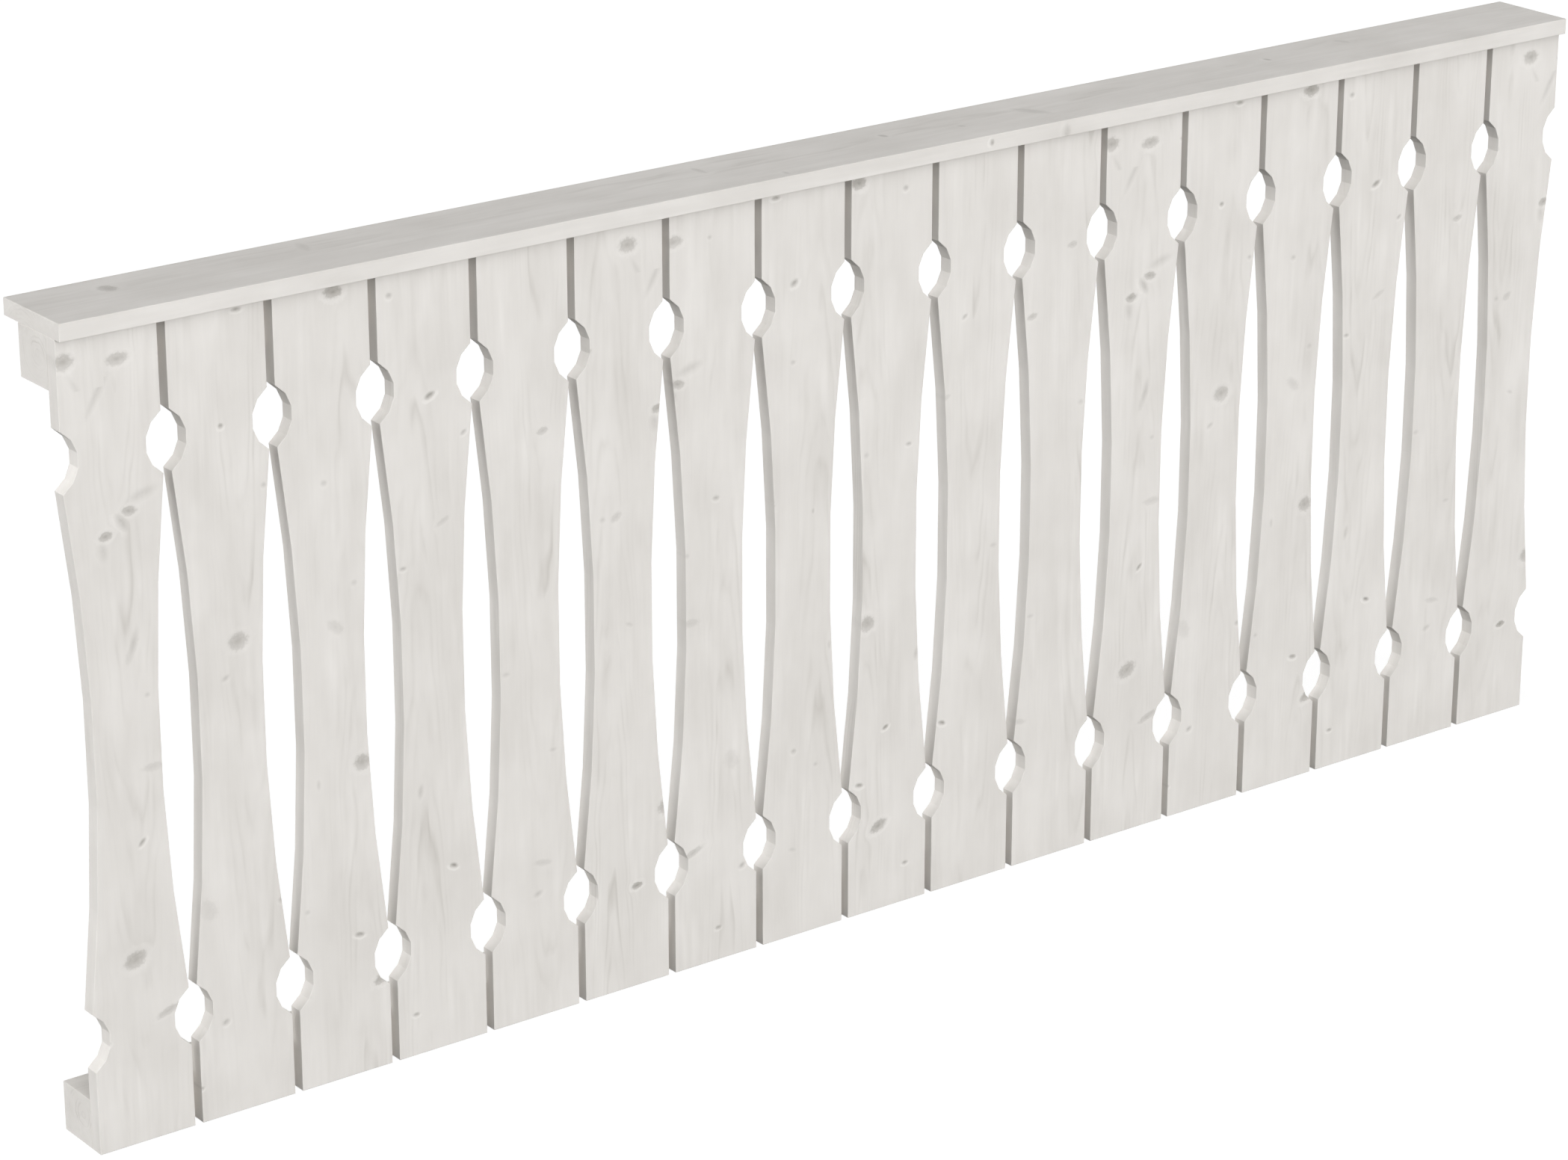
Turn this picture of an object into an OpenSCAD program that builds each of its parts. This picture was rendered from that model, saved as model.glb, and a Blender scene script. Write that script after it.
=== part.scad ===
// Balcony railing: a row of upright boards with sawn edges, carried by two square rails
// behind them and closed by a flat handrail on top.
// Millimetres. The origin is the middle of the lower rail's underside, +X runs along the
// railing, +Z is up, and the boards' faces look towards -Y.

/* [Panel] */
// Number of boards
board_count = 17; // [3:1:24]
// Clear gap between the straight ends of two boards
board_gap = 10; // [4:1:25]

/* [Boards] */
// Width of a board at its straight ends
board_w = 120; // [90:1:180]
// Thickness of a board
board_t = 19; // [15:1:30]
// Height of a board
board_h = 940; // [700:5:1150]

/* [Sawn edges] */
// Straight stretch at the foot and at the head of an edge
end_straight = 100; // [70:1:140]
// Height of a round notch, measured along the edge
notch_h = 70; // [50:1:100]
// Depth of the arc that a round notch follows
notch_depth = 20; // [8:1:25]
// Depth of the arc that the long waist follows
waist_depth = 20; // [8:1:30]
// Straight flats that make up each arc
arc_flats = 5; // [3:1:24]

/* [Rails] */
// Height of the upper and the lower rail
rail_h = 60; // [40:1:95]
// Depth of the upper and the lower rail, behind the boards
rail_d = 60; // [40:1:100]

/* [Handrail] */
// Thickness of the handrail
handrail_t = 20; // [15:1:45]
// How far the handrail stands out in front of the boards
handrail_front_lip = 11; // [0:1:40]
// How far the handrail stands out behind the upper rail
handrail_back_lip = 30; // [0:1:80]
// How far the handrail runs past the end boards
handrail_end_lip = 0; // [0:1:60]

/* [Hidden] */
// Name of a board's node, counted from 1 at the left
function board_name(number) = str("board_", number < 10 ? "0" : "", number);

board_pitch = board_w + board_gap;
panel_l = board_count * board_pitch - board_gap;
board_back_y = -rail_d / 2;
board_front_y = board_back_y - board_t;
handrail_d = handrail_front_lip + board_t + rail_d + handrail_back_lip;
waist_h = board_h - 2 * (end_straight + notch_h);

board_colour = [0.89, 0.88, 0.86];
rail_colour = [0.87, 0.86, 0.84];
handrail_colour = [0.88, 0.87, 0.85];

// Centre of a board along the railing, counted from 1 at the left
function board_x(number) = -panel_l / 2 + board_w / 2 + (number - 1) * board_pitch;

// Points of a cut that follows a circular arc of the given chord and depth, as [depth, height]
// pairs from the bottom up, starting at start_z
function arc_cut(chord, depth, start_z) =
    let (
        radius = (chord * chord / 4 + depth * depth) / (2 * depth),
        half_angle = asin(chord / 2 / radius)
    )
    [
        for (step = [0 : arc_flats])
            let (angle = half_angle * (2 * step / arc_flats - 1))
            [radius * cos(angle) - radius + depth, start_z + chord / 2 + radius * sin(angle)]
    ];

// One edge of a board from foot to head, as [depth, height] pairs: notch, waist and notch
// between two straight ends. A cut's last point is the next cut's first
function sawn_edge() = concat(
    [[0, 0]],
    arc_cut(notch_h, notch_depth, end_straight),
    [for (step = [1 : arc_flats - 1]) arc_cut(waist_h, waist_depth, end_straight + notch_h)[step]],
    arc_cut(notch_h, notch_depth, board_h - end_straight - notch_h),
    [[0, board_h]]
);

// Face of a board: the sawn edge on the right, and its mirror image on the left
module board_face() {
    edge = sawn_edge();
    last = len(edge) - 1;
    polygon(concat(
        [for (point = edge) [board_w / 2 - point[0], point[1]]],
        [for (step = [last : -1 : 0]) [edge[step][0] - board_w / 2, edge[step][1]]]
    ));
}

module board(number) {
    color(board_colour)
        translate([board_x(number), board_back_y, 0])
            rotate([90, 0, 0])
                linear_extrude(height = board_t)
                    board_face();
}

// A square rail along the back of the boards, with its underside at the given height
module rail(underside_z) {
    color(rail_colour)
        translate([-panel_l / 2, board_back_y, underside_z])
            cube([panel_l, rail_d, rail_h]);
}

module lower_rail() {
    rail(0);
}

module upper_rail() {
    rail(board_h - rail_h);
}

module handrail() {
    color(handrail_colour)
        translate([-panel_l / 2 - handrail_end_lip, board_front_y - handrail_front_lip, board_h])
            cube([panel_l + 2 * handrail_end_lip, handrail_d, handrail_t]);
}

lower_rail();
upper_rail();
handrail();
for (number = [1 : board_count])
    board(number);
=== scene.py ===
# %% [markdown]
# # A white-glazed balcony railing
# The real railing is one flat panel: seventeen upright spruce boards with sawn edges, two square rails
# behind them and a flat handrail on top, all planed and brushed with a thin white glaze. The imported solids
# already have the right sizes and places. What they lack is what a joiner's plane and brush leave: edges
# that are eased and not knife-sharp, grain that runs along each timber and flows round its knots, and a
# glaze that veils the wood without hiding it. The solids are loaded first, and every piece that follows
# takes its size and place from them.

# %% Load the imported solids
import math

import bpy
import numpy as np
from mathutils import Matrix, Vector


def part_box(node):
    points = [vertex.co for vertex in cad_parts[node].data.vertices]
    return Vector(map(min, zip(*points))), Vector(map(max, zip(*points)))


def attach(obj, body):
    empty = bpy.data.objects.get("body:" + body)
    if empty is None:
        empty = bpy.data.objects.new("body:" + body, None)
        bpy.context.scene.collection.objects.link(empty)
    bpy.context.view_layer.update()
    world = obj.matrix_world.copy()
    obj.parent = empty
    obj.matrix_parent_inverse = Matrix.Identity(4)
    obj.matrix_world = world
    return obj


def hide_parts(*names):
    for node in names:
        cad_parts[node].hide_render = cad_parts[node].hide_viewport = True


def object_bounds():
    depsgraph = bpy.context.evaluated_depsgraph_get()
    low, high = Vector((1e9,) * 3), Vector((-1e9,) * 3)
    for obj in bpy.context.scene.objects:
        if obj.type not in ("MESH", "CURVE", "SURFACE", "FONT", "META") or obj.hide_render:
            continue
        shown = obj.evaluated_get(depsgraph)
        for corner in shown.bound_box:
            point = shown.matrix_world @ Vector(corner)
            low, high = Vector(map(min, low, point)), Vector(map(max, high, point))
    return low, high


MM = 0.001

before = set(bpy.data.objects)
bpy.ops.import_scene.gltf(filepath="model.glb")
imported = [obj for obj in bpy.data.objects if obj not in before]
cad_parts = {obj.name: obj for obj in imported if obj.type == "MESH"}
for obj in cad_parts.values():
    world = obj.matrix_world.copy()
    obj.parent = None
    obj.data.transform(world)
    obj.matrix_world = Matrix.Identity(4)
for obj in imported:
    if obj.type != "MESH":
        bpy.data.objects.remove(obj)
solid_low, solid_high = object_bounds()
BOARDS = sorted(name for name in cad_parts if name.startswith("board_"))
print("boards:", len(BOARDS), "size in metres:", [round(s, 3) for s in solid_high - solid_low])

# %% [markdown]
# ## The camera
# The photograph looks at the panel from the front left and from a little above, with a long lens. The
# panel's own straight edges give the place of the camera, its two angles and its lens, so the picture needs
# no shift and no roll.

# %% Camera
# Metres, then degrees to the right and downwards
CAMERA_PLACE = (-3.2660, -4.1737, 2.3930)
CAMERA_HEADING = 36.996
CAMERA_DIP = 20.475
SENSOR_WIDTH_MM = 36.0
LENS_MM = 107.26

camera = bpy.data.objects.new("camera", bpy.data.cameras.new("camera"))
bpy.context.scene.collection.objects.link(camera)
camera.location = CAMERA_PLACE
camera.rotation_euler = (math.radians(90 - CAMERA_DIP), 0, math.radians(-CAMERA_HEADING))
camera.data.sensor_width = SENSOR_WIDTH_MM
camera.data.lens = LENS_MM
bpy.context.scene.camera = camera
print("camera lens:", LENS_MM, "mm")

# %% [markdown]
# ## Adding nodes
# Each material below is a graph of nodes. One helper adds a node, sets its properties, and then fills its
# inputs: a plain value is typed into the input, and another node is linked to it, by its first output or by
# the output that is named beside it. Colours are written as the hex values that a colour picker shows, and
# one function turns them into the linear values that Blender calculates with.

# %% Node helper and colours
def node(tree, kind, inputs=None, stops=(), **settings):
    """Adds one node. settings are its properties. inputs maps an input's name or number to a value, a node,
    or a pair of a node and the name or number of its output. stops are a ramp's places and grey values."""
    made = tree.nodes.new("ShaderNode" + kind)
    for name, value in settings.items():
        setattr(made, name, value)
    for number, (place, grey) in enumerate(stops):
        ramp = made.color_ramp.elements
        stop = ramp[number] if number < len(ramp) else ramp.new(place)
        stop.position = place
        stop.color = (grey, grey, grey, 1)
    for name, value in (inputs or {}).items():
        has_output = isinstance(value, tuple) and isinstance(value[0], bpy.types.Node)
        source, output = value if has_output else (value, 0)
        if isinstance(source, bpy.types.Node):
            tree.links.new(source.outputs[output], made.inputs[name])
        else:
            made.inputs[name].default_value = value
    return made


def linear(colour):
    """Linear red, green, blue and alpha of an sRGB hex colour: each channel c goes to c / 12.92 in the
    darkest part and to ((c + 0.055) / 1.055) to the power 2.4 above it."""
    channels = [int(colour[place : place + 2], 16) / 255 for place in (1, 3, 5)]
    return [c / 12.92 if c <= 0.04045 else ((c + 0.055) / 1.055) ** 2.4 for c in channels] + [1.0]


print("middle grey in linear values:", [round(c, 3) for c in linear("#808080")])

# %% [markdown]
# ## Light and background
# The photograph's light is soft and comes from two sides: from in front of the panel, some of it from
# above, and from the left end, a little behind it. Fronts and left edges are equally bright, but the gaps
# stay dark, because little light reaches into them, and the handrail shades the boards' heads. Wide sun
# lamps give that light. Two narrow and low ones, behind the panel and at its right rear, light the sides
# that the photograph doesn't show, and a dim white world fills the rest. Camera rays see the world and the
# floor as white, but the floor still takes the railing's shadow.

# %% World, lamps and floor
# The way from the railing to each lamp, its strength and how wide it is, in degrees
LAMPS = {
    "front_lamp": ((-0.12, -0.99, 0.09), 2.75, 40),
    "upper_lamp": ((-0.09, -0.7, 0.71), 0.58, 50),
    "corner_lamp": ((-0.53, -0.63, 0.57), 0.92, 60),
    "left_lamp": ((-0.89, 0.37, 0.26), 2.55, 66),
    "back_lamp": ((0, 1, 0.02), 1.5, 14),
    "right_lamp": ((0.87, 0.5, 0.02), 0.9, 8),
}
FILL_STRENGTH = 0.01
FLOOR_HALF_SIZE = 30.0
FLOOR_DROP = 0.5 * MM
FLOOR_BOUNCE = "#50504E"
FLOOR_GLOW = 0.9
FLOOR_VEIL = "#808080"

world = bpy.data.worlds.new("white_surround")
bpy.context.scene.world = world
world.use_nodes = True
world.node_tree.nodes.clear()


def seen_directly(tree):
    """1 for rays that show the background itself, from the camera, in a gloss or through glass, else 0."""
    path = node(tree, "LightPath")
    shown = node(tree, "Math", {0: path, 1: (path, "Is Glossy Ray")}, operation="MAXIMUM")
    return node(tree, "Math", {0: shown, 1: (path, "Is Transmission Ray")}, operation="MAXIMUM")


tree = world.node_tree
brightness = node(tree, "MapRange", {"Value": seen_directly(tree), "To Min": FILL_STRENGTH, "To Max": 1.0})
background = node(tree, "Background", {"Color": (1, 1, 1, 1), "Strength": brightness})
node(tree, "OutputWorld", {"Surface": background})
bpy.context.scene.view_settings.view_transform = "Standard"

for name, (way, strength, width) in LAMPS.items():
    lamp = bpy.data.objects.new(name, bpy.data.lights.new(name, "SUN"))
    bpy.context.scene.collection.objects.link(lamp)
    lamp.rotation_euler = Vector(way).to_track_quat("Z", "Y").to_euler()
    lamp.data.energy = strength
    lamp.data.angle = math.radians(width)

# The floor is pale paper: white where it is looked at, with the shadow as a faint grey
paper = bpy.data.materials.new("pale_paper_floor")
paper.use_nodes = True
tree = paper.node_tree
tree.nodes.clear()
bounced = node(tree, "BsdfDiffuse", {"Color": linear(FLOOR_BOUNCE)})
glow = node(tree, "Emission", {"Color": (1, 1, 1, 1), "Strength": FLOOR_GLOW})
veil = node(tree, "BsdfDiffuse", {"Color": linear(FLOOR_VEIL)})
looked_at = node(tree, "AddShader", {0: glow, 1: veil})
floor_surface = node(tree, "MixShader", {"Fac": seen_directly(tree), 1: bounced, 2: looked_at})
node(tree, "OutputMaterial", {"Surface": floor_surface})

corners = FLOOR_HALF_SIZE * np.array([(-1, -1, 0), (1, -1, 0), (1, 1, 0), (-1, 1, 0)], float)
corners[:, 2] = solid_low.z - FLOOR_DROP
floor_mesh = bpy.data.meshes.new("floor")
floor_mesh.from_pydata(corners.tolist(), [], [(0, 1, 2, 3)])
floor_mesh.materials.append(paper)
floor = bpy.data.objects.new("floor", floor_mesh)
bpy.context.scene.collection.objects.link(floor)
print("lamps:", list(LAMPS), "fill:", FILL_STRENGTH)

# %% [markdown]
# ## Planed timber
# A planed timber is a rectangle carried along its length, with its four long edges eased by a stroke of the
# plane. All pieces of this railing are such timbers. A box with a Bevel modifier would do for the rails, but
# the boards' edges are sawn to a curve, so the section's width has to change along the way. Working out the
# whole surface as one grid of points, section by section, serves both: one index runs round the section
# and the other along the timber.

# %% Timber surface
EASE = 0.6 * MM
EASE_STEPS = 3
END_EASE = 0.6
CELL = 11 * MM
ROUNDING = 0.01


def steps_through(stops):
    """Places from the first stop to the last, through every stop, with even steps of at most one cell."""
    spans = [
        np.linspace(start, end, max(1, math.ceil((end - start) / CELL - ROUNDING)), endpoint=False)
        for start, end in zip(stops[:-1], stops[1:])
    ]
    return np.append(np.concatenate(spans), stops[-1])


def eased_section(width, depth):
    """Points round a rectangle with eased corners, anticlockwise from its lower left, as three arrays: the
    share of the half width that a flat face covers, from -1 to 1, the step out from there, which is the
    sine of the corner's angle times the ease, and the height from the middle of the depth."""
    across = np.linspace(-1, 1, max(2, round(width / CELL)) + 1)
    upright = np.linspace(-1, 1, max(1, round(depth / CELL)) + 1) * (depth / 2 - EASE)
    turn = np.linspace(0, np.pi / 2, EASE_STEPS + 1)[1:-1]
    out, up = EASE * np.sin(turn), EASE * np.cos(turn)
    low_corner, high_corner = -(depth / 2 - EASE) - up, depth / 2 - EASE + up[::-1]
    right = np.concatenate([0 * turn + 1, 0 * upright + 1, 0 * turn + 1])
    right_out = np.concatenate([out, 0 * upright + EASE, out[::-1]])
    right_up = np.concatenate([low_corner, upright, high_corner])
    share = np.concatenate([across, right, across[::-1], -right])
    step_out = np.concatenate([0 * across, right_out, 0 * across, -right_out])
    height = np.concatenate([0 * across - depth / 2, right_up, 0 * across + depth / 2, right_up[::-1]])
    return share, step_out, height, len(across)


def timber_grid(stops, half_width, depth):
    """Points of a timber as an array of sections: each section is the eased rectangle, with its half width
    given as a function of the place along the timber, and the first and last are drawn in by a little more
    than half of the ease. Returns the points as across, depth and along, and the faces."""
    along = steps_through([stops[0], stops[0] + EASE, *stops[1:-1], stops[-1] - EASE, stops[-1]])
    share, step_out, height, columns = eased_section(2 * half_width(along).max(), depth)
    drawn_in = np.zeros(len(along))
    drawn_in[[0, -1]] = END_EASE
    across = share * (half_width(along)[:, None] - EASE) + step_out * (1 - drawn_in[:, None])
    depths = height * (1 - drawn_in[:, None] * EASE / (depth / 2))
    points = np.stack([across, depths, np.broadcast_to(along[:, None], across.shape)], axis=-1)
    around = len(share)
    first = np.arange(around)
    ring = np.stack([first, np.roll(first, -1)], axis=1)
    start = around * np.arange(len(along) - 1)[:, None, None]
    sides = np.concatenate([start + ring, start + around + ring[:, ::-1]], axis=2).reshape(-1, 4)
    front, back = np.arange(columns), around - 1 - np.arange(columns) - (around // 2 - columns)
    cap = np.stack([front[:-1], back[:-1], back[1:], front[1:]], axis=1)
    right_edge = list(range(columns - 1, around // 2 + 1))[::-1]
    left_edge = [0] + list(range(around - 1, around // 2 + columns - 2, -1))
    last = around * (len(along) - 1)
    faces = sides.tolist() + cap.tolist() + [right_edge, left_edge]
    faces += (cap[:, ::-1] + last).tolist()
    faces += [[last + corner for corner in edge[::-1]] for edge in (right_edge, left_edge)]
    return points.reshape(-1, 3), faces


print("longest step between two points:", CELL / MM, "mm")

# %% [markdown]
# ## Knots and hearts in the photograph
# A knot is where a branch grew through the trunk, and the saw cut it across. The boards in the photograph
# show the same knots again about every five and a half boards, so one list of knots, as wide as that
# stretch, serves the whole panel. Large knots push the grain aside. Pin knots are too small for that. Each
# board was also sawn beside the heart of its tree, and the broadest grain shows in front of that line.

# %% Knots on the boards
# Measured in the photograph and rounded: millimetres from the panel's left edge and from its foot, the half
# width and half height, the tilt in degrees, and how dark the knot is, from 0 to 1
KNOT_STRETCH = 714
LARGE_KNOTS = [
    (8, 914, 11, 8, 0, 0.5), (71, 906, 11.5, 6.5, 5, 0.45), (336, 930, 10.5, 7, 0, 0.65),
    (76, 737, 8, 5, -10, 0.5), (47, 714, 7.5, 5, 10, 0.55), (468, 641, 9, 3, 25, 0.2),
    (201, 560, 11, 9, 10, 0.45), (324, 548, 10.5, 6, -40, 0.2), (71, 579, 14, 4.5, 65, 0.15),
    (90, 441, 12, 4.5, 0, 0.2), (353, 380, 9.5, 9, 0, 0.5), (149, 255, 12, 9, -60, 0.15),
    (56, 221, 12.5, 9, 25, 0.5), (93, 149, 13.5, 4, 20, 0.35), (372, 111, 11.5, 6.5, 25, 0.6),
    (603, 719, 7, 4, 10, 0.35), (702, 595, 7, 4.5, 30, 0.25), (592, 194, 10.5, 3.5, -10, 0.2),
    (11, 129, 7, 4, 10, 0.7), (664, 799, 7, 4, 5, 0.3),
]
# Written as large knots are, or with one radius and no tilt; the last rows are wisps of dark grain
PIN_KNOTS = [
    (406, 913, 4, 0.3), (191, 808, 3.5, 0.45), (316, 717, 4, 0.2), (241, 731, 3.5, 0.2),
    (350, 594, 4, 0.15), (87, 525, 3.5, 0.15), (242, 242, 4, 0.25), (275, 217, 3.5, 0.15),
    (683, 595, 4, 0.15), (122, 903, 3, 0.2),
    (455, 790, 7, 4, 25, 0.55), (498, 739, 4.5, 3, 35, 0.3), (414, 596, 4.5, 3, 0, 0.3),
    (184, 521, 5.5, 3.5, 30, 0.2), (72, 357, 6, 3, 45, 0.45), (470, 223, 5.5, 3.5, -20, 0.55),
    (342, 172, 6, 3.5, -10, 0.5), (165, 114, 5, 4, 30, 0.3), (414, 51, 4.5, 3, 0, 0.4),
    (547, 438, 5, 3.5, 0, 0.15), (429, 325, 8.5, 4, 80, 0.2), (609, 331, 5, 3, 0, 0.15),
    (4, 460, 5.5, 3, -25, 0.15), (585, 156, 6.5, 4, 20, 0.2), (129, 42, 4.5, 3, 5, 0.4),
    (382, 239, 5, 3, 25, 0.6), (243, 827, 6, 4.5, 30, 0.4), (129, 588, 5, 3.5, -5, 0.3),
    (271, 542, 3.5, 2.5, 85, 0.2), (240, 114, 5, 3, -15, 0.15), (296, 367, 6, 3, 90, 0.15),
    (216, 933, 6, 3, 0, 0.45),
    (93, 752, 18, 7, 15, 0.15), (66, 726, 11, 6, -60, 0.25), (42, 698, 11, 7, -80, 0.15),
    (46, 873, 26, 5, 60, 0.15), (19, 885, 14, 4.5, -60, 0.1), (75, 591, 14, 5, 75, 0.15),
]
# Where the broadest grain shows, in the same stretch
HEARTS = np.array([65, 142, 212, 280, 350, 434, 515, 600, 690])
# Columns of a table of knots
ACROSS, ALONG, HALF_WIDTH, HALF_HEIGHT, TILT, DARKNESS, DEPTH_PLACE, DEPTH_RADIUS = range(8)
FAR_AWAY = (1e5, 1e5, 1, 1, 0, 0)
RIGHT_THROUGH = (0, 1e5)


def as_rows(knots):
    """Knots as a table, with the tilt in radians. A knot with one radius is round, and one without a place
    in depth runs right through the timber. The last row is a knot far off, for a timber without any."""
    rows = [knot if len(knot) > 4 else (*knot[:2], knot[2], knot[2], 0, knot[3]) for knot in knots]
    rows.append(FAR_AWAY)
    table = np.array([row if len(row) > DEPTH_PLACE else (*row, *RIGHT_THROUGH) for row in rows], float)
    table[:, TILT] = np.radians(table[:, TILT])
    return table


def repeated(rows, middle):
    """The knots of the one stretch that lie nearest to a board, with places counted from its middle."""
    shifted = rows.copy()
    on_stretch = rows[:, ACROSS] < KNOT_STRETCH
    turns = np.round((middle - rows[on_stretch, ACROSS]) / KNOT_STRETCH)
    shifted[on_stretch, ACROSS] += turns * KNOT_STRETCH - middle
    return shifted


board_knots, board_pins = as_rows(LARGE_KNOTS), as_rows(PIN_KNOTS)
print("large knots:", len(LARGE_KNOTS), "pin knots:", len(PIN_KNOTS))

# %% [markdown]
# ## Putting a timber together
# The grain has to follow each timber, upright in the boards and lengthwise in the rails, so every piece
# carries its own coordinates: millimetres across the timber and through its depth from the heart of the
# tree, and millimetres along it. They are stored on the points and stay exact between them. The nearest
# knot is stored on each face, because it may change only from one face to the next.

# %% Timber pieces
DRAWS = np.random.default_rng(1907)
LENGTH_OF_TREE = 9000
NARROW_SIDE_KNOTS = 0.25
BROAD_SIDE_FACING = 0.7


def store(mesh, name, domain, values):
    """Adds one named set of vectors to the points or the faces of a mesh."""
    layer = mesh.attributes.new(name, "FLOAT_VECTOR", domain)
    layer.data.foreach_set("vector", np.ascontiguousarray(values, np.float32).ravel())


def store_knots(mesh, name, rows, centres, shows, heart, shift):
    """Stores on each face the knot that is nearest to it, counted in that knot's own radii: its place from
    the heart, one over its radii, its tilt and its darkness. A knot that runs right through a timber is
    paler on the faces that cut it lengthwise."""
    places = rows[:, [ACROSS, DEPTH_PLACE, ALONG]]
    radii = rows[:, [HALF_WIDTH, DEPTH_RADIUS, HALF_HEIGHT]]
    gap = (((centres[:, None] - places) / radii) ** 2).sum(axis=2)
    nearest = np.argmin(gap, axis=1)
    tilt, darkness, depth = rows[nearest][:, [TILT, DARKNESS, DEPTH_RADIUS]].T
    darkness = np.where(depth < RIGHT_THROUGH[1], darkness, darkness * shows)
    in_tree = places + [-heart[0], heart[1], shift]
    in_tree[:, 1] += heart[2] * rows[:, ALONG]
    store(mesh, name + "_place", "FACE", in_tree[nearest])
    store(mesh, name + "_scale", "FACE", 1 / radii[nearest])
    store(mesh, name + "_look", "FACE", np.stack([tilt, darkness, 0 * tilt], axis=1))


def timber(solid, axes, stops, half_width, heart, knots, pins):
    """Makes the timber that stands for a solid. axes are the numbers of the axes that run across it, through
    its depth and along it. heart is the tree's heart, in millimetres across from the timber's middle, in
    depth from there, and how far it leans in depth for each millimetre of length."""
    low, high = (np.array(corner)[list(axes)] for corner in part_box(solid))
    middle = np.array([*(low + high)[:2] / 2, low[2]])
    points, faces = timber_grid(stops, half_width, high[1] - low[1])
    placed = np.empty_like(points)
    placed[:, list(axes)] = points + middle
    if np.linalg.det(np.eye(3)[list(axes)]) < 0:
        faces = [face[::-1] for face in faces]
    mesh = bpy.data.meshes.new(solid + "_glazed")
    mesh.from_pydata(placed.tolist(), [], faces)
    shift = LENGTH_OF_TREE * DRAWS.random()
    in_tree = points / MM
    in_tree[:, 1] += heart[1] + heart[2] * in_tree[:, 2]
    store(mesh, "grain", "POINT", in_tree - [heart[0], 0, -shift])
    centres, normals = np.empty((2, len(mesh.polygons), 3))
    mesh.polygons.foreach_get("center", centres.ravel())
    mesh.polygons.foreach_get("normal", normals.ravel())
    centres = (centres[:, list(axes)] - middle) / MM
    shows = np.where(abs(normals[:, axes[1]]) > BROAD_SIDE_FACING, 1, NARROW_SIDE_KNOTS)
    store_knots(mesh, "knot", knots, centres, shows, heart, shift)
    store_knots(mesh, "pin", pins, centres, shows, heart, shift)
    piece = bpy.data.objects.new(solid + "_glazed", mesh)
    bpy.context.scene.collection.objects.link(piece)
    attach(piece, "root")
    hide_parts(solid)
    return piece


print("a tree's length, for grain that never repeats:", LENGTH_OF_TREE, "mm")

# %% [markdown]
# ## The boards
# Every board has the same sawn edge on both sides: a straight end, a round notch, a long shallow waist, a
# second notch and a straight end. Each cut follows a circle, but the photograph shows it as five straight
# flats, and so does the solid. The edge is therefore a line through the corners of those flats, and between
# two corners the half width changes evenly.

# %% Boards
END_STRAIGHT = 100 * MM
NOTCH_HEIGHT = 70 * MM
NOTCH_DEPTH = 20 * MM
WAIST_DEPTH = 20 * MM
ARC_FLATS = 5
BOARD_HEART_DEPTH = (20, 28)
BOARD_HEART_LEAN = 0.042
FLAMES_UPWARDS = 0.7
BOARD_AXES = (0, 1, 2)


def arc_cut(chord, depth, start):
    """Corners of a cut that follows a circle in equal flats, as heights and depths. With the circle's radius
    r, at the angle a from the middle, the height is r sin a from the middle and the depth is r cos a less
    what the circle's middle lies outside the edge."""
    radius = (chord**2 / 4 + depth**2) / (2 * depth)
    angle = np.linspace(-1, 1, ARC_FLATS + 1) * math.asin(chord / 2 / radius)
    return np.stack([start + chord / 2 + radius * np.sin(angle), radius * np.cos(angle) - radius + depth])


foot, head = (np.array(corner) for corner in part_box(BOARDS[0]))
board_width, _, board_height = head - foot
notch_to_notch = board_height - 2 * (END_STRAIGHT + NOTCH_HEIGHT)
sawn = np.concatenate(
    [
        [[0], [0]],
        arc_cut(NOTCH_HEIGHT, NOTCH_DEPTH, END_STRAIGHT),
        arc_cut(notch_to_notch, WAIST_DEPTH, END_STRAIGHT + NOTCH_HEIGHT)[:, 1:-1],
        arc_cut(NOTCH_HEIGHT, NOTCH_DEPTH, board_height - END_STRAIGHT - NOTCH_HEIGHT),
        [[board_height], [0]],
    ],
    axis=1,
)


def board_half_width(along):
    """Half of a board's width at each height: half the full width less the depth of the sawn edge there."""
    return board_width / 2 - np.interp(along, sawn[0], sawn[1])


boards = []
for solid in BOARDS:
    low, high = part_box(solid)
    middle = ((low + high) / 2 - solid_low).x / MM
    hearts = HEARTS + KNOT_STRETCH * np.round((middle - HEARTS) / KNOT_STRETCH)
    heart = hearts[np.argmin(abs(hearts - middle))] - middle
    lean = BOARD_HEART_LEAN * (1 if DRAWS.random() < FLAMES_UPWARDS else -1)
    heart_depth = DRAWS.uniform(*BOARD_HEART_DEPTH) + max(0, -lean * board_height / MM)
    knots, pins = repeated(board_knots, middle), repeated(board_pins, middle)
    in_board = (heart, heart_depth, lean)
    piece = timber(solid, BOARD_AXES, sawn[0], board_half_width, in_board, knots, pins)
    boards.append(piece)
print("boards:", len(boards), "faces on each:", len(boards[0].data.polygons))

# %% [markdown]
# ## The rails and the handrail
# The rails are square timbers, and the handrail is a flat board laid on its side, so both are the same
# surface with an even width. Their grain runs along the railing. The handrail's knots follow the
# photograph. Those on the rails, which it hides, are drawn at random from a fixed seed.

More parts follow.
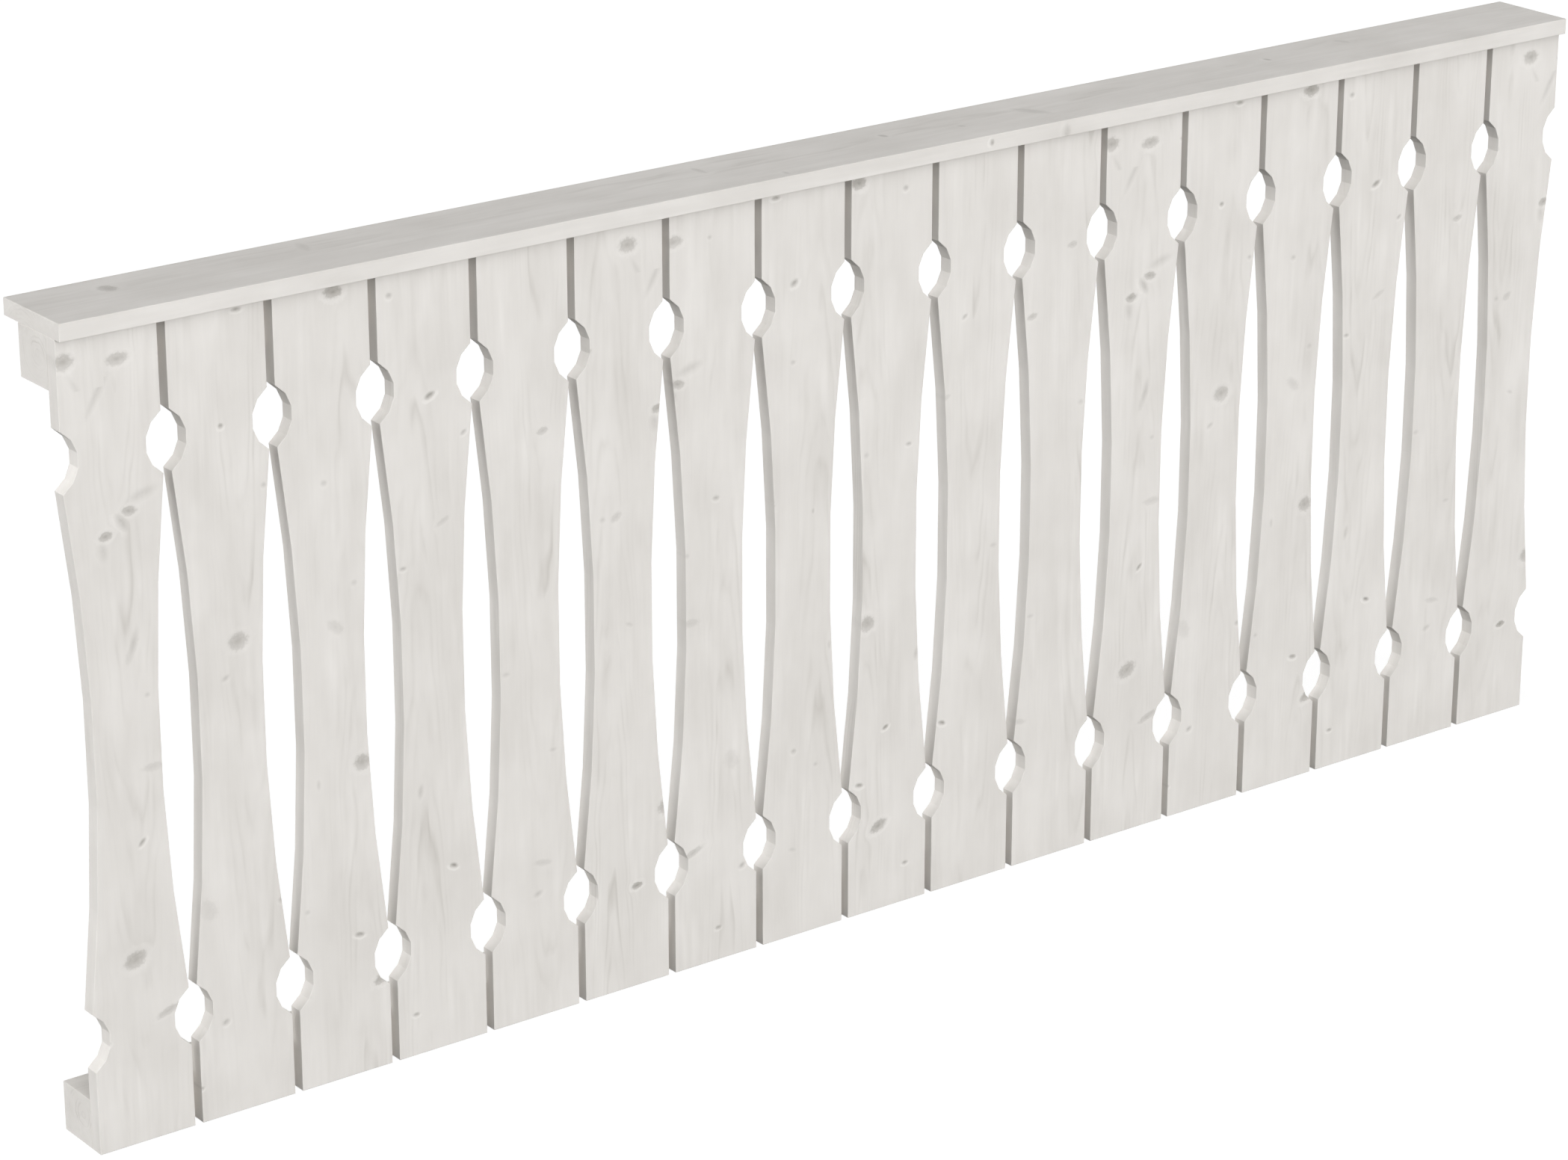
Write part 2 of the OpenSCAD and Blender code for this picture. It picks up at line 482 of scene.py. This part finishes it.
# %% Rails and handrail
# Millimetres across from the handrail's middle and along it, then as for the boards. Two of the pin knots
# lie on the front edge, so they also have a place and a radius in depth.
HANDRAIL_KNOTS = [
    (21, 102, 10.5, 9, -20, 0.4), (30, 348, 14, 5.5, 10, 0.15), (21, 872, 11.5, 4, -5, 0.2),
    (14, 1135, 6, 4, -15, 0.35), (-3, 1347, 22, 8, -30, 0.2), (25, 1883, 9.5, 5.5, -25, 0.2),
]
HANDRAIL_PINS = [
    (-46, 946, 6.5, 4, 0, 0.15), (-7, 1237, 5.5, 3.5, -45, 0.2), (13, 1744, 6, 4.5, -10, 0.3),
    (-60, 1240, 30, 4, 0, 0.4, 1, 4), (-60, 1355, 30, 7, 0, 0.2, -5, 10),
]
HANDRAIL_HEART = (18, 34, 0.004)
RAIL_HEART = (6, 12, 0.006)
# How many knots a rail has, and their smallest and largest radius
RAIL_KNOTS = (9, 5, 10)
RAIL_PINS = (12, 2, 4)
# How tall a rail's knots are for their width, how far in they lie, and how dark they are
RAIL_KNOT_HEIGHT = 0.8
RAIL_KNOT_MARGIN = 1.4
RAIL_KNOT_DARKNESS = (0.15, 0.5)
# Each of a rail's knots lies within this part of its own stretch of the rail
RAIL_KNOT_STRETCH = (0.1, 0.9)
HANDRAIL_AXES = (1, 2)
RAIL_AXES = (2, 1)


def even_half_width(width):
    """Half width of a timber that is as wide at one end as at the other."""
    return lambda along: np.full(len(along), width / 2)


def long_timber(solid, axes, heart, knots, pins):
    """A timber that runs along the railing, with the given axes across it and through its depth."""
    low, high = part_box(solid)
    half_width = even_half_width((high - low)[axes[0]])
    return timber(solid, (*axes, 0), [0, high.x - low.x], half_width, heart, knots, pins)


def drawn_knots(solid, count, smallest, largest):
    """Knots drawn at random on a rail: place across and along, two radii, tilt and darkness."""
    low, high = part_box(solid)
    half_height = (high.z - low.z) / 2 / MM
    stretch = (high.x - low.x) / MM / count
    across = DRAWS.uniform(-1, 1, count) * (half_height - RAIL_KNOT_MARGIN * largest)
    along = (np.arange(count) + DRAWS.uniform(*RAIL_KNOT_STRETCH, count)) * stretch
    radius = DRAWS.uniform(smallest, largest, count)
    darkness = DRAWS.uniform(*RAIL_KNOT_DARKNESS, count)
    columns = [across, along, radius, radius * RAIL_KNOT_HEIGHT, 0 * radius, darkness]
    return as_rows(np.stack(columns, axis=1).tolist())


knots, pins = as_rows(HANDRAIL_KNOTS), as_rows(HANDRAIL_PINS)
handrail = long_timber("handrail", HANDRAIL_AXES, HANDRAIL_HEART, knots, pins)
rails = []
for solid in ("upper_rail", "lower_rail"):
    knots, pins = drawn_knots(solid, *RAIL_KNOTS), drawn_knots(solid, *RAIL_PINS)
    rails.append(long_timber(solid, RAIL_AXES, RAIL_HEART, knots, pins))
print("faces of the handrail and of a rail:", len(handrail.data.polygons), len(rails[0].data.polygons))

# %% [markdown]
# ## White-glazed spruce
# Spruce is pale, with narrow darker lines where each year's growth ended, and soft brown knots. A thin white
# glaze lets both show through as grey, the lines faintly and the knots more. A picture of wood would have to
# be wrapped round each timber. A pattern in the wood's own coordinates needs no wrapping, and the ends of
# the timbers show it without any more work. Its smallest part is a soft noise that is stretched along the
# grain, in patches of a known size.

# %% Noise along the grain
# Millimetres that the patches measure across the grain and along it, and how much finer detail they have.
# The fibres of real spruce are finer, and are drawn this coarse so that they show.
PATCHES = {
    "mottle": (4, 4, 2),
    "ring waver": (16, 90, 1),
    "ring places": (26, 110, 2),
    "clouds": (60, 100, 3),
    "strokes": (26, 200, 2),
    "streaks": (9, 120, 1),
    "streak places": (40, 140, 1),
    "fibres": (1.6, 110, 2),
}
# Nearly all of the noise lies between two limits, which are spread to half a unit each way
NOISE_SPREAD = {"From Min": 0.28, "From Max": 0.72, "To Min": -0.5, "To Max": 0.5}
NOISE_MIDDLE = (0.5, 0.5, 0.5)

spruce = bpy.data.materials.new("white_glazed_spruce")
spruce.use_nodes = True
tree = spruce.node_tree
tree.nodes.clear()
grain = (node(tree, "Attribute", attribute_name="grain"), "Vector")


def stretched_noise(name):
    """Soft noise from -0.5 to 0.5, in the named patches."""
    across, along, detail = PATCHES[name]
    stretch = (1 / across, 1 / across, 1 / along)
    place = node(tree, "VectorMath", {0: grain, 1: stretch}, operation="MULTIPLY")
    noise = node(tree, "TexNoise", {"Vector": place, "Scale": 1.0, "Detail": detail, "Roughness": 0.5})
    return node(tree, "MapRange", {"Value": noise, **NOISE_SPREAD})


for piece in [*boards, handrail, *rails]:
    piece.data.materials.append(spruce)
print("timbers of", spruce.name + ":", spruce.users)

# %% [markdown]
# ## Knots in the wood
# A knot is darkest at its pith and its outline is ragged. Most knots in the photograph are darker above
# than below, with a pale rim below them: painted shade on the upper side and a painted highlight on the
# rim, as on a knot that stood in relief. The distance from a knot's middle, counted in its own radii, gives
# both through two ramps: one for the dark wood with its painted shade, and one for the rim's painted
# highlight. Painting the knots on each board would give more freedom, but the ramps serve knots of any size
# and tilt.

# %% Knot shading
# Ramps from a knot's middle to its reach, which is counted in its own radii
KNOT_REACH = 2.0
LARGE_CORE = [
    (0, 1.15), (0.12, 1.02), (0.22, 0.86), (0.32, 0.82), (0.4, 0.84), (0.47, 0.68), (0.55, 0.38),
    (0.66, 0.13), (0.82, 0),
]
PIN_CORE = [(0, 1.4), (0.18, 1.3), (0.32, 0.95), (0.45, 0.5), (0.58, 0.16), (0.75, 0)]
# The rim is a painted highlight below the knot
PAINTED_RIM_HIGHLIGHT = [(0.46, 0), (0.62, 1), (0.74, 0.5), (1, 0)]
# How ragged the outline is, how dark the lower side is under the painted shade above, and how pale the
# rim's painted highlight is above the knot
LARGE_LOOK = (0.5, 0.62, 0.6)
PIN_LOOK = (0.3, 0.2, 0.1)
# Where the painted shade rises from the lower side to the upper, and where the rim's painted highlight fades
PAINTED_SHADE_RISES = {"From Min": -0.8, "From Max": 0.2}
RIM_HIGHLIGHT_FADES = {"From Min": -1.2, "From Max": 0.3, "To Min": 1.0}
MOTTLE_SHARE = 0.5


def knot_field(name):
    """Where a point lies from the nearest knot: the way from its middle, its distance in the knot's own
    radii, how far up the knot it lies, and how dark the knot is."""
    place = (node(tree, "Attribute", attribute_name=name + "_place"), "Vector")
    scale = (node(tree, "Attribute", attribute_name=name + "_scale"), "Vector")
    look = (node(tree, "Attribute", attribute_name=name + "_look"), "Vector")
    away = node(tree, "VectorMath", {0: grain, 1: place}, operation="SUBTRACT")
    facts = node(tree, "SeparateXYZ", {0: look})
    turned = node(tree, "VectorRotate", {"Vector": away, "Angle": facts}, rotation_type="Y_AXIS")
    scaled = node(tree, "VectorMath", {0: turned, 1: scale}, operation="MULTIPLY")
    distance = (node(tree, "VectorMath", {0: scaled}, operation="LENGTH"), "Value")
    height = (node(tree, "SeparateXYZ", {0: scaled}), "Z")
    return away, distance, height, (facts, "Y")


mottle = stretched_noise("mottle")
mottled = node(tree, "Math", {0: mottle, 1: MOTTLE_SHARE, 2: 1.0}, operation="MULTIPLY_ADD")


def knot_shades(distance, height, tone, core, look):
    """How dark the knot makes a point, which is the ramp times the shares of its height, its mottling and the
    knot's tone, so that painted shade darkens its upper side, and how pale its rim makes it, which is the
    other ramp times the share of its height and the square of the tone: a painted highlight below the knot."""
    raggedness, foot, rim_highlight_above = look
    ragged = node(tree, "Math", {0: mottle, 1: raggedness, 2: distance}, operation="MULTIPLY_ADD")
    ragged = node(tree, "MapRange", {"Value": ragged, "From Max": KNOT_REACH})
    dark = node(tree, "ValToRGB", {"Fac": ragged}, stops=core)
    rim = node(tree, "ValToRGB", {"Fac": ragged}, stops=PAINTED_RIM_HIGHLIGHT)
    # Painted shade on the knot's upper side, and a painted highlight on its rim below
    upper = node(tree, "MapRange", {"Value": height, **PAINTED_SHADE_RISES, "To Min": foot})
    lower = node(tree, "MapRange", {"Value": height, **RIM_HIGHLIGHT_FADES, "To Max": rim_highlight_above})
    for share in (upper, mottled, tone):
        dark = node(tree, "Math", {0: dark, 1: share}, operation="MULTIPLY")
    for share in (lower, tone, tone):
        rim = node(tree, "Math", {0: rim, 1: share}, operation="MULTIPLY")
    return dark, rim


# The knots' rims are painted highlights, and their upper sides carry painted shade
away, from_knot, up_knot, knot_tone = knot_field("knot")
dark_knot, knot_rim_highlight = knot_shades(from_knot, up_knot, knot_tone, LARGE_CORE, LARGE_LOOK)
_, from_pin, up_pin, pin_tone = knot_field("pin")
dark_pin, pin_rim_highlight = knot_shades(from_pin, up_pin, pin_tone, PIN_CORE, PIN_LOOK)
print("nodes so far, with the knots:", len(tree.nodes))

# %% [markdown]
# ## The year's rings
# Each year's line is a circle round the heart of the tree, so it depends on the distance from the heart, and
# the saw's flat cut turns those circles into the long flames that plain boards show. A trunk isn't straight,
# so the circles wander along it, and a large knot pushes them aside. A Wave texture draws rings too, but all
# alike. Here each ring has its own strength, because some years were better than others.

# %% Rings that flow round the knots
# Millimetres: how far the grain wanders, how far apart the rings lie, how far they waver, and how wide the
# flames are. The wander's scale is one over the millimetres in which it turns, across the trunk and along it.
WANDER = (14, 10, 0)
WANDER_SCALE = (0.003, 0.003, 1 / 170)
RING_WIDTH = 4.6
RING_WAVER = 3.0
FLAME_WIDTH = 24
# How far a knot pushes the grain, how fast that falls off, and how soon a dark knot pushes fully
KNOT_PUSH = 0.65
PUSH_FALLS = 0.35
FIRMNESS = 2.4
# A ring from one year's start to its end, and how unlike each other the years are
LATE_WOOD = [(0, 0.2), (0.2, 0), (0.45, 0.05), (0.8, 1), (1, 0.2)]
YEARS_DIFFER = 1.2
# How much of the rings shows beside the flames, where the glaze is thick, and close to a knot
BESIDE_FLAMES = {"To Min": 0.12, "To Max": 1.0}
UNDER_GLAZE = {"From Min": -0.2, "From Max": 0.4, "To Min": 0.05}
BY_A_KNOT = {"From Min": 1.2, "From Max": 4.0, "To Min": 0.2}

# The grain wanders along the trunk, and a large knot pushes it aside
place = node(tree, "VectorMath", {0: grain, 1: WANDER_SCALE}, operation="MULTIPLY")
waver = (node(tree, "TexNoise", {"Vector": place, "Scale": 1.0, "Detail": 1.0}), "Color")
waver = node(tree, "VectorMath", {0: waver, 1: NOISE_MIDDLE}, operation="SUBTRACT")
wandered = node(tree, "VectorMath", {0: waver, 1: WANDER, 2: grain}, operation="MULTIPLY_ADD")
nearness = node(tree, "Math", {0: from_knot, 1: from_knot}, operation="MULTIPLY")
nearness = node(tree, "Math", {0: nearness, 1: -PUSH_FALLS}, operation="MULTIPLY")
nearness = node(tree, "Math", {0: nearness}, operation="EXPONENT")
firmness = node(tree, "Math", {0: knot_tone, 1: FIRMNESS}, operation="MULTIPLY", use_clamp=True)
push = node(tree, "Math", {0: nearness, 1: firmness}, operation="MULTIPLY")
push = node(tree, "Math", {0: push, 1: -KNOT_PUSH}, operation="MULTIPLY")
pushed = node(tree, "VectorMath", {0: away, "Scale": push}, operation="SCALE")
flowing = node(tree, "VectorMath", {0: wandered, 1: pushed}, operation="ADD")

# The rings are darkest just before they end
across_trunk = node(tree, "VectorMath", {0: flowing, 1: (1, 1, 0)}, operation="MULTIPLY")
from_heart = (node(tree, "VectorMath", {0: across_trunk}, operation="LENGTH"), "Value")
ring_waver = stretched_noise("ring waver")
years = node(tree, "Math", {0: ring_waver, 1: RING_WAVER, 2: from_heart}, operation="MULTIPLY_ADD")
years = node(tree, "Math", {0: years, 1: RING_WIDTH}, operation="DIVIDE")
season = node(tree, "Math", {0: years}, operation="FRACT")
late_wood = node(tree, "ValToRGB", {"Fac": season}, stops=LATE_WOOD)
which_year = node(tree, "Math", {0: years}, operation="FLOOR")
good_year = (node(tree, "TexWhiteNoise", {"W": which_year}, noise_dimensions="1D"), "Value")
good_year = node(tree, "Math", {0: good_year, 1: YEARS_DIFFER}, operation="POWER")

# They show in front of the heart, and more in some places than in others
sideways = node(tree, "SeparateXYZ", {0: flowing})
flame = node(tree, "Math", {0: sideways, 1: 1 / FLAME_WIDTH}, operation="MULTIPLY")
flame = node(tree, "Math", {0: flame, 1: flame}, operation="MULTIPLY")
flame = node(tree, "Math", {0: flame, 1: -1.0}, operation="MULTIPLY")
flame = node(tree, "Math", {0: flame}, operation="EXPONENT")
flame = node(tree, "MapRange", {"Value": flame, **BESIDE_FLAMES})
shown = node(tree, "MapRange", {"Value": stretched_noise("ring places"), **UNDER_GLAZE})
calm = node(tree, "MapRange", {"Value": from_knot, **BY_A_KNOT})
rings = late_wood
for share in (good_year, flame, shown, calm):
    rings = node(tree, "Math", {0: rings, 1: share}, operation="MULTIPLY")
print("nodes so far, with the rings:", len(tree.nodes))

# %% [markdown]
# ## The glaze
# The glaze lies thicker and thinner: in clouds and strokes where it was brushed, and in streaks along the
# fibres. It is thin over the rings, and a painted highlight pales the rim below each knot. All of these are
# added up, and the sum mixes a nearly white colour with a greyer one. Knots then darken the mixture, with
# painted shade on their upper side. Brushed glaze dries with a low sheen, so the surface is rough and
# reflects little.

# %% Glaze and shader
GLAZE_THICK = "#ECE9E5"
GLAZE_THIN = "#CBC7C1"
KNOT_WOOD = "#87827A"
GLAZE_BASE = 0.25
# How much each layer thins the glaze, or pales the colour where the number is below zero: those are the
# painted highlights on the knots' rims
THINNING_AND_HIGHLIGHTS = {
    "clouds": 0.28,
    "strokes": 0.16,
    "streaks": 1.0,
    "fibres": 0.035,
    "rings": 0.72,
    "knot rim highlights": -1.1,
    "pin rim highlights": -3.0,
}
# Streaks show only in some places, and fade towards the others
STREAK_PLACES = {"From Min": -0.2, "From Max": 0.5, "To Max": 0.32}
RELIEF_DEPTH = 0.12 * MM
RELIEF_STRENGTH = 0.5
FIBRE_RELIEF = 0.5
FIBRE_SHEEN = {"From Min": -0.5, "From Max": 0.5, "To Min": 0.58, "To Max": 0.7}
GLAZE_IOR = 1.48
GLAZE_SPECULAR = 0.15
# Numbers of a Mix node's share, two colours and resulting colour
MIX_SHARE, MIX_FIRST, MIX_SECOND, MIXED = 0, 6, 7, 2

fibre = stretched_noise("fibres")
streaked = node(tree, "MapRange", {"Value": stretched_noise("streak places"), **STREAK_PLACES})
streak = node(tree, "Math", {0: stretched_noise("streaks"), 1: streaked}, operation="MULTIPLY")
layers = {
    "clouds": stretched_noise("clouds"),
    "strokes": stretched_noise("strokes"),
    "streaks": streak,
    "fibres": fibre,
    "rings": rings,
    # Painted highlights on the rims below the knots
    "knot rim highlights": knot_rim_highlight,
    "pin rim highlights": pin_rim_highlight,
}
thin = GLAZE_BASE
for name, share in THINNING_AND_HIGHLIGHTS.items():
    thin = node(tree, "Math", {0: layers[name], 1: share, 2: thin}, operation="MULTIPLY_ADD")
glazes = {MIX_SHARE: thin, MIX_FIRST: linear(GLAZE_THICK), MIX_SECOND: linear(GLAZE_THIN)}
colour = node(tree, "Mix", glazes, data_type="RGBA")
# Knots darken the colour, with painted shade on their upper side
for dark in (dark_knot, dark_pin):
    darkened = {MIX_SHARE: dark, MIX_FIRST: (colour, MIXED), MIX_SECOND: linear(KNOT_WOOD)}
    colour = node(tree, "Mix", darkened, data_type="RGBA")

# Brushed glaze stands a little proud on the late wood and is duller over the fibres
relief = node(tree, "Math", {0: fibre, 1: FIBRE_RELIEF, 2: rings}, operation="MULTIPLY_ADD")
bump = node(tree, "Bump", {"Height": relief, "Distance": RELIEF_DEPTH, "Strength": RELIEF_STRENGTH})
roughness = node(tree, "MapRange", {"Value": fibre, **FIBRE_SHEEN})
finish = {"Base Color": (colour, MIXED), "Roughness": roughness, "Normal": bump}
shader = node(tree, "BsdfPrincipled", {**finish, "IOR": GLAZE_IOR, "Specular IOR Level": GLAZE_SPECULAR})
node(tree, "OutputMaterial", {"Surface": shader})
print("nodes in the glazed spruce:", len(tree.nodes))

# %% [markdown]
# ## Screws
# No screw shows in the photograph, so the boards must be held from behind: screws go through each rail into
# the boards, and a few more go up through the upper rail into the handrail. Their raised heads stand on the
# rails' rear faces and underneath. A head is a surface over a round grid: one index runs round it, and the
# other runs in from the rim, over the dome, down the wall of the driver's hollow and across its floor. All
# heads of a rail are copies of that one grid in a single mesh.

# %% One screw head
HEAD_RADIUS = 4.6 * MM
HEAD_RISE = 1.2 * MM
HEAD_SUNK = 0.4 * MM
DRIVE_RADIUS = 2.2 * MM
DRIVE_WAVE = 0.32 * MM
DRIVE_DEPTH = 1.5 * MM
DRIVE_TAPER = 0.9
DOME_SHARES = [0, 0.1, 0.4, 0.75, 1]
LOBES = 6
ROUND_STEPS = 36


def screw_head():
    """Rings of points on a head that faces up. With the share s from the rim to the drive's edge, the radius
    goes evenly from the rim's to the edge's, and the height is the rise times 1 less the square of the
    radius over the rim's. The edge is the drive's radius plus a wave times the cosine of six times the
    angle."""
    angle = np.linspace(0, 2 * np.pi, ROUND_STEPS, endpoint=False)
    edge = DRIVE_RADIUS + DRIVE_WAVE * np.cos(LOBES * angle)
    share = np.array(DOME_SHARES)[:, None]
    dome = HEAD_RADIUS * (1 - share) + edge * share
    rise = HEAD_RISE * (1 - (dome / HEAD_RADIUS) ** 2)
    radius = np.concatenate([dome[:1], dome, [DRIVE_TAPER * edge, 0 * edge]])
    height = np.concatenate([rise[:1] - HEAD_SUNK, rise, rise[[-1, -1]] - DRIVE_DEPTH])
    return np.stack([radius * np.cos(angle), radius * np.sin(angle), height], axis=-1)


head_grid = screw_head()
rings_on_head = len(head_grid)
print("points on a screw head:", rings_on_head * ROUND_STEPS)

# %% [markdown]
# ## Screws on the rails
# Each board has two screws in each rail, set aslant so that they don't split one line of the grain. The
# heads are turned at random, as a driver leaves them. Seventy-four separate objects would be hard to keep in
# order, so the one grid is turned and placed for all heads of a rail at once, with whole arrays.

# %% Screw heads
BOARD_SCREW_SPREAD = 34 * MM
BOARD_SCREW_STAGGER = 12 * MM
HANDRAIL_SCREWS = 6


def screws(name, places, right, up, facing):
    """One mesh of screw heads at the given places. Each is turned by a random angle, and its own right, up
    and facing directions are given."""
    turn = DRAWS.uniform(0, 2 * np.pi, len(places))[:, None, None]
    across = head_grid[..., 0] * np.cos(turn) - head_grid[..., 1] * np.sin(turn)
    upright = head_grid[..., 0] * np.sin(turn) + head_grid[..., 1] * np.cos(turn)
    out = np.broadcast_to(head_grid[..., 2], across.shape)
    points = np.array(places)[:, None, None] + sum(
        part[..., None] * np.array(way) for part, way in ((across, right), (upright, up), (out, facing))
    )
    number = np.arange(rings_on_head * ROUND_STEPS).reshape(rings_on_head, ROUND_STEPS)
    quads = np.stack([number, np.roll(number, -1, 1)], axis=-1)
    quads = np.concatenate([quads[:-1], quads[1:, :, ::-1]], axis=-1).reshape(-1, 4)
    faces = (quads + number.size * np.arange(len(places))[:, None, None]).reshape(-1, 4)
    mesh = bpy.data.meshes.new(name)
    mesh.from_pydata(points.reshape(-1, 3).tolist(), [], faces.tolist())
    store(mesh, "turned", "POINT", np.tile(head_grid.reshape(-1, 3) / MM, (len(places), 1)))
    piece = bpy.data.objects.new(name, mesh)
    bpy.context.scene.collection.objects.link(piece)
    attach(piece, "root")
    return piece


board_middles = [sum(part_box(solid), Vector()).x / 2 for solid in BOARDS]
steel_pieces = []
for solid in ("upper_rail", "lower_rail"):
    low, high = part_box(solid)
    places = [
        (middle + side * BOARD_SCREW_SPREAD, high.y, (low.z + high.z) / 2 + side * BOARD_SCREW_STAGGER)
        for middle in board_middles
        for side in (-1, 1)
    ]
    steel_pieces.append(screws(solid + "_screws", places, (0, 0, 1), (1, 0, 0), (0, 1, 0)))
low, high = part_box("upper_rail")
spots = low.x + (np.arange(HANDRAIL_SCREWS) + 0.5) * (high.x - low.x) / HANDRAIL_SCREWS
places = [(x, (low.y + high.y) / 2, low.z) for x in spots]
steel_pieces.append(screws("handrail_screws", places, (0, 1, 0), (1, 0, 0), (0, 0, -1)))
faces_on_head = ROUND_STEPS * (rings_on_head - 1)
print("screw heads:", [len(piece.data.polygons) // faces_on_head for piece in steel_pieces])

# %% [markdown]
# ## Stainless steel
# Screw heads are cold-formed and then tumbled, so they are neither mirrors nor dull: the dome has faint
# rings from the die and small differences in polish. The rings follow the distance from each head's own
# axis, which is worked out from coordinates that are stored on its points.

# %% Tumbled stainless steel
STEEL = "#A3A19C"
# The die's rings, in millimetres, and how deep they are
DIE_RING = 0.5
DIE_RING_DEPTH = 0.01 * MM
DIE_RING_STRENGTH = 0.6
POLISH_SCALE = 1.4
POLISH = {"To Min": 0.2, "To Max": 0.44}

steel = bpy.data.materials.new("tumbled_stainless_steel")
steel.use_nodes = True
tree = steel.node_tree
tree.nodes.clear()
on_head = (node(tree, "Attribute", attribute_name="turned"), "Vector")
across_head = node(tree, "VectorMath", {0: on_head, 1: (1, 1, 0)}, operation="MULTIPLY")
from_axis = (node(tree, "VectorMath", {0: across_head}, operation="LENGTH"), "Value")
die_rings = node(tree, "Math", {0: from_axis, 1: 2 * math.pi / DIE_RING}, operation="MULTIPLY")
die_rings = node(tree, "Math", {0: die_rings}, operation="SINE")
polish = node(tree, "TexNoise", {"Vector": on_head, "Scale": POLISH_SCALE, "Detail": 2.0})
roughness = node(tree, "MapRange", {"Value": polish, **POLISH})
bump = node(tree, "Bump", {"Height": die_rings, "Distance": DIE_RING_DEPTH, "Strength": DIE_RING_STRENGTH})
finish = {"Base Color": linear(STEEL), "Metallic": 1.0, "Roughness": roughness, "Normal": bump}
shader = node(tree, "BsdfPrincipled", finish)
node(tree, "OutputMaterial", {"Surface": shader})
for piece in steel_pieces:
    piece.data.materials.append(steel)
print("steel pieces:", [piece.name for piece in steel_pieces])
